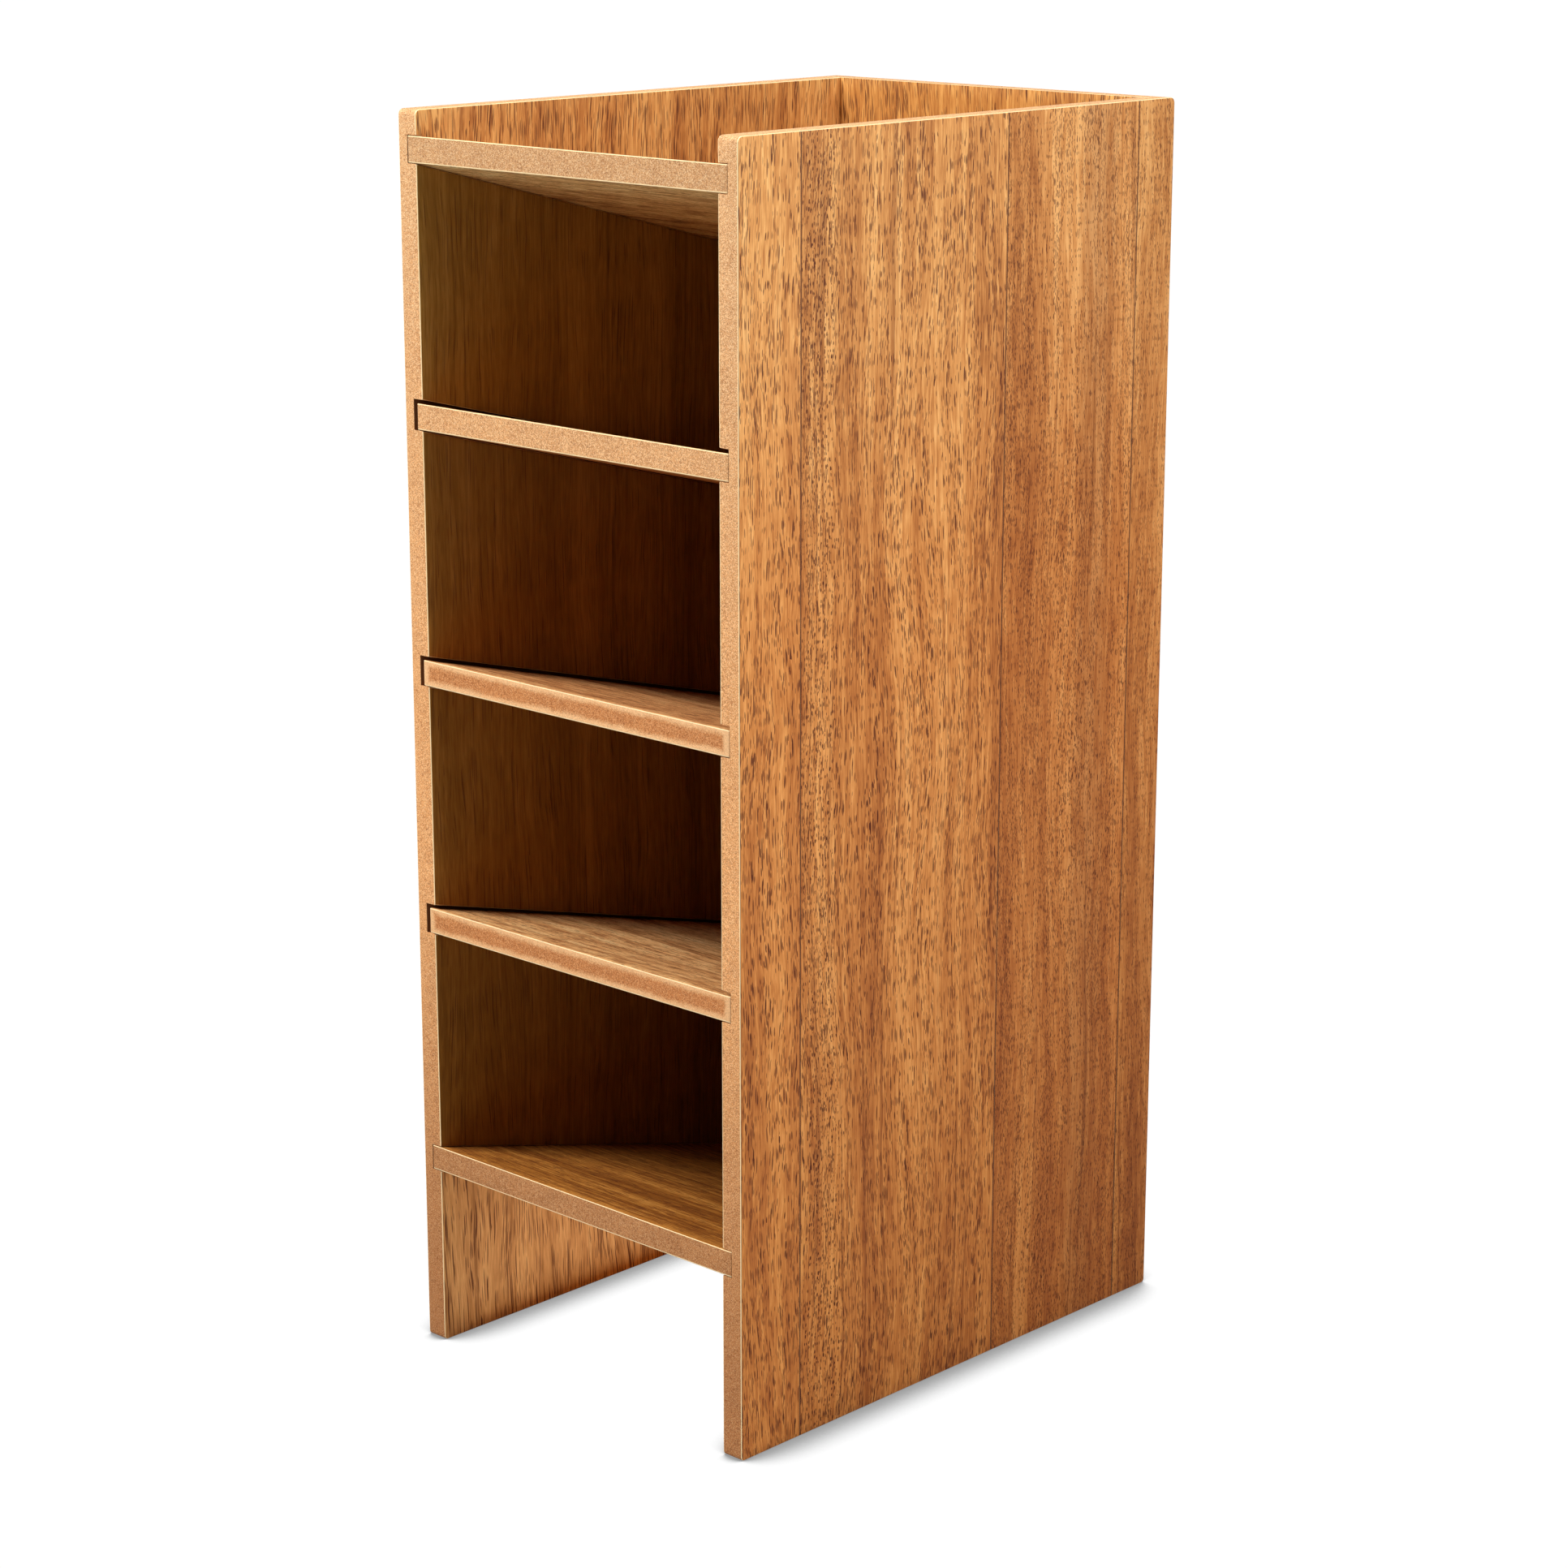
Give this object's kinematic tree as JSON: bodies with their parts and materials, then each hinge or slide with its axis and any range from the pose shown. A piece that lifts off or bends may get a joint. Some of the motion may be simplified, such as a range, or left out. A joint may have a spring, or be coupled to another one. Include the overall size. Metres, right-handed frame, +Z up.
{
  "type": "magazine rack",
  "caption": "Tall open-fronted magazine rack of veneered board: two sides, a back and shelves that slope down to the back, the middle ones sliding out of grooves.",
  "frame": {"origin": "middle of the footprint, on the floor", "axes": "+Z up, -Y the open front, +X to the right of someone facing the front"},
  "size_m": [0.24, 0.33, 0.667],
  "materials": {
    "fibreboard": "bare sanded fibreboard edge",
    "case_veneer": "satin oiled veneer, grain upright",
    "shelf_veneer": "satin oiled veneer, grain left to right"
  },
  "bodies": {
    "case": {"left_side_core": "fibreboard", "left_side_outer_leaf_1": "case_veneer", "left_side_outer_leaf_2": "case_veneer", "left_side_outer_leaf_3": "case_veneer", "left_side_outer_leaf_4": "case_veneer", "left_side_inner_veneer_1": "case_veneer", "left_side_inner_veneer_2": "case_veneer", "left_side_inner_veneer_3": "case_veneer", "left_side_inner_veneer_4": "case_veneer", "left_side_inner_veneer_5": "case_veneer", "left_side_inner_veneer_6": "case_veneer", "right_side_core": "fibreboard", "right_side_outer_leaf_1": "case_veneer", "right_side_outer_leaf_2": "case_veneer", "right_side_outer_leaf_3": "case_veneer", "right_side_outer_leaf_4": "case_veneer", "right_side_inner_veneer_1": "case_veneer", "right_side_inner_veneer_2": "case_veneer", "right_side_inner_veneer_3": "case_veneer", "right_side_inner_veneer_4": "case_veneer", "right_side_inner_veneer_5": "case_veneer", "right_side_inner_veneer_6": "case_veneer", "back_core": "fibreboard", "back_inner_veneer": "case_veneer", "back_outer_veneer": "case_veneer", "bottom_shelf_core": "fibreboard", "bottom_shelf_under_veneer": "shelf_veneer", "bottom_shelf_top_veneer": "shelf_veneer", "top_shelf_core": "fibreboard", "top_shelf_under_veneer": "shelf_veneer", "top_shelf_top_veneer": "shelf_veneer"},
    "lower_shelf": {"lower_shelf_core": "fibreboard", "lower_shelf_under_veneer": "shelf_veneer", "lower_shelf_top_veneer": "shelf_veneer"},
    "middle_shelf": {"middle_shelf_core": "fibreboard", "middle_shelf_under_veneer": "shelf_veneer", "middle_shelf_top_veneer": "shelf_veneer"},
    "upper_shelf": {"upper_shelf_core": "fibreboard", "upper_shelf_under_veneer": "shelf_veneer", "upper_shelf_top_veneer": "shelf_veneer"}
  },
  "joints": [
    {"name": "lower_shelf_slide", "type": "slide", "parent": "case", "child": "lower_shelf", "axis": [0, -0.9681, 0.2504], "range_m": [0, 0.33]},
    {"name": "middle_shelf_slide", "type": "slide", "parent": "case", "child": "middle_shelf", "axis": [0, -0.9681, 0.2504], "range_m": [0, 0.33]},
    {"name": "upper_shelf_slide", "type": "slide", "parent": "case", "child": "upper_shelf", "axis": [0, -0.9681, 0.2504], "range_m": [0, 0.33]}
  ]
}
